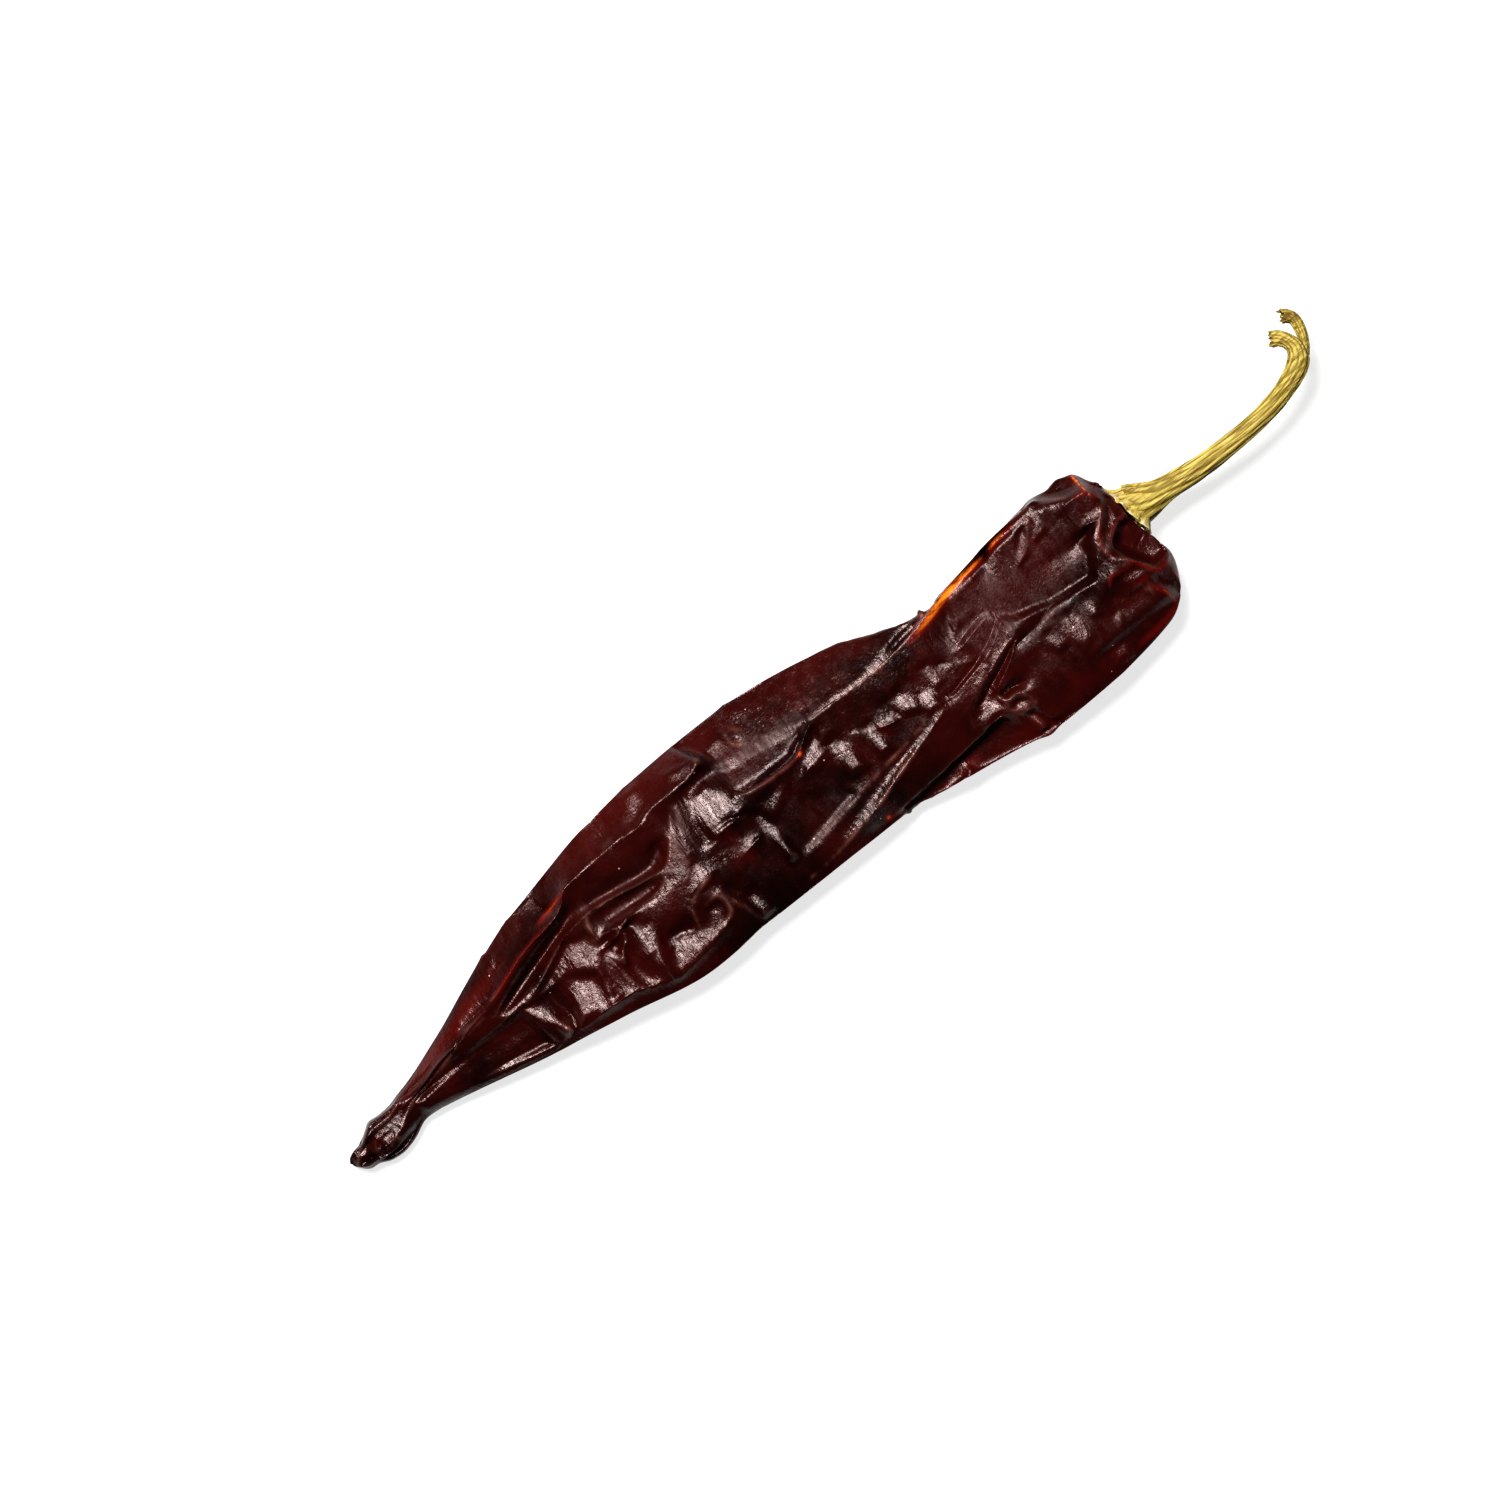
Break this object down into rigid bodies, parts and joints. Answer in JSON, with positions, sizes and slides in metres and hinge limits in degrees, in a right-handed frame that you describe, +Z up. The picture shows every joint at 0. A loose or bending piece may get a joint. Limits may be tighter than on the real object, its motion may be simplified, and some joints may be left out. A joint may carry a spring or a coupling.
{
  "type": "dried chilli pepper",
  "caption": "Long dried red chilli pepper lying flat, with a wrinkled leathery pod, a dry calyx and a curved stem torn at its end.",
  "frame": {"origin": "on the surface that the pod lies on, under the middle of the object's box", "axes": "+X along the pod from its tip to its stem, +Y to the pod's left, +Z up from the surface"},
  "size_m": [0.1994, 0.0354, 0.0124],
  "materials": {
    "pod": "glossy, wrinkled dry skin, dark red-brown",
    "calyx": "papery, dry, olive-yellow",
    "stem": "dry, ribbed, olive-yellow with brown streaks"
  },
  "bodies": {
    "root": {"pod": "pod", "calyx": "calyx", "stem": "stem"}
  },
  "joints": []
}
